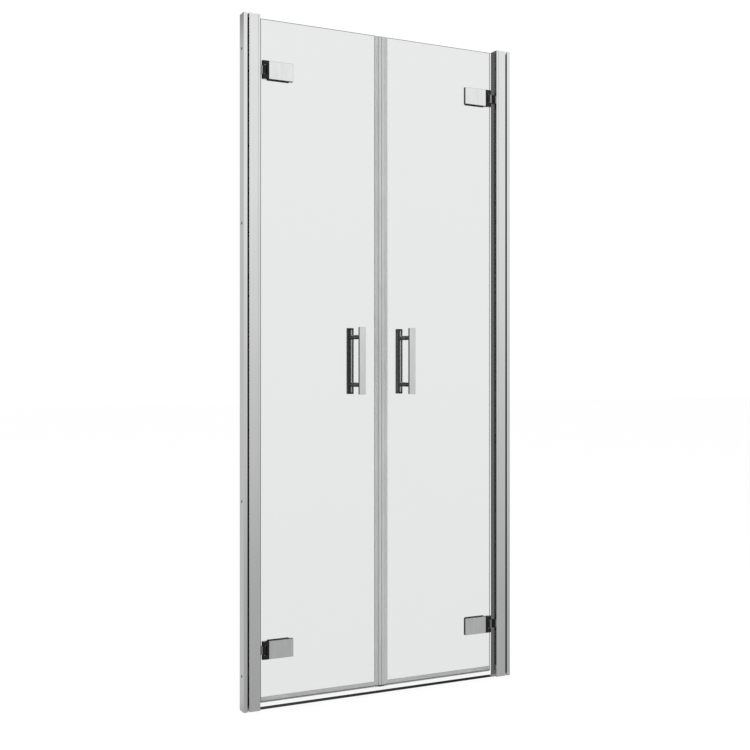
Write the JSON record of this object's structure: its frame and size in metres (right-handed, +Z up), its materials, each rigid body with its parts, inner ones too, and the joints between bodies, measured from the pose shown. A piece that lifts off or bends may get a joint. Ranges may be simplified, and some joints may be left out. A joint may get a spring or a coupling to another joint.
{
  "type": "hinged shower door",
  "caption": "Niche shower door with two glass leaves that swing out on barrel hinges between polished wall profiles, with bar handles and magnetic meeting seals.",
  "frame": {"origin": "on the floor, midway between the walls, in the middle plane of the glass", "axes": "+X along the doorway to the right as seen from the room, -Y towards the room, +Y into the shower, +Z up"},
  "size_m": [0.877, 0.094, 1.95],
  "materials": {
    "profile": "polished, bright anodised",
    "chrome": "polished",
    "steel": "plain stainless steel",
    "glass": "clear toughened",
    "clear_seal": "clear soft PVC",
    "magnet": "grey magnetic strip",
    "dark_plastic": "satin moulded",
    "white_plastic": "low-friction bush",
    "gasket": "matt sheet"
  },
  "bodies": {
    "frame": {"threshold_bar": "profile", "lock_screws": "steel", "lock_screw_caps": "chrome", "hinge_bracket_screws": "steel", "wall_profile_left": "profile", "wall_profile_right": "profile", "jamb_profile_left": "profile", "jamb_profile_right": "profile", "jamb_trim_left": "profile", "jamb_trim_right": "profile", "profile_plug_left": "dark_plastic", "profile_plug_right": "dark_plastic", "hinge_bracket_pads_left": "dark_plastic", "hinge_bracket_pads_right": "dark_plastic", "hinge_pins_left": "steel", "hinge_pins_right": "steel", "hinge_knuckle_sleeves_left": "dark_plastic", "hinge_knuckle_sleeves_right": "dark_plastic", "hinge_bracket_lower_left": "chrome", "hinge_bracket_lower_right": "chrome", "hinge_bracket_upper_left": "chrome", "hinge_bracket_upper_right": "chrome"},
    "leaf_left": {"glass_leaf_left": "glass", "meeting_seal_left": "clear_seal", "magnet_strip_left": "magnet", "bottom_seal_left": "clear_seal", "handle_outer_bar_left": "chrome", "handle_inner_bar_left": "chrome", "handle_spacers_left": "chrome", "handle_studs_left": "steel", "handle_washers_left": "clear_seal", "hinge_gaskets_left": "gasket", "hinge_clamp_screws_left": "steel", "hinge_bushes_left": "white_plastic", "hinge_front_plate_lower_left": "chrome", "hinge_front_plate_upper_left": "chrome", "hinge_back_plate_lower_left": "chrome", "hinge_back_plate_upper_left": "chrome", "hinge_pivot_block_lower_left": "dark_plastic", "hinge_pivot_block_upper_left": "dark_plastic"},
    "leaf_right": {"glass_leaf_right": "glass", "meeting_seal_right": "clear_seal", "magnet_strip_right": "magnet", "bottom_seal_right": "clear_seal", "handle_outer_bar_right": "chrome", "handle_inner_bar_right": "chrome", "handle_spacers_right": "chrome", "handle_studs_right": "steel", "handle_washers_right": "clear_seal", "hinge_gaskets_right": "gasket", "hinge_clamp_screws_right": "steel", "hinge_bushes_right": "white_plastic", "hinge_front_plate_lower_right": "chrome", "hinge_front_plate_upper_right": "chrome", "hinge_back_plate_lower_right": "chrome", "hinge_back_plate_upper_right": "chrome", "hinge_pivot_block_lower_right": "dark_plastic", "hinge_pivot_block_upper_right": "dark_plastic"}
  },
  "joints": [
    {"name": "leaf_left_swing", "type": "hinge", "parent": "frame", "child": "leaf_left", "pos_m": [-0.3708, -0.0085, 0.982], "axis": [0, 0, -1], "range_deg": [0, 110]},
    {"name": "leaf_right_swing", "type": "hinge", "parent": "frame", "child": "leaf_right", "pos_m": [0.3708, -0.0085, 0.982], "axis": [0, 0, 1], "range_deg": [0, 110]}
  ]
}
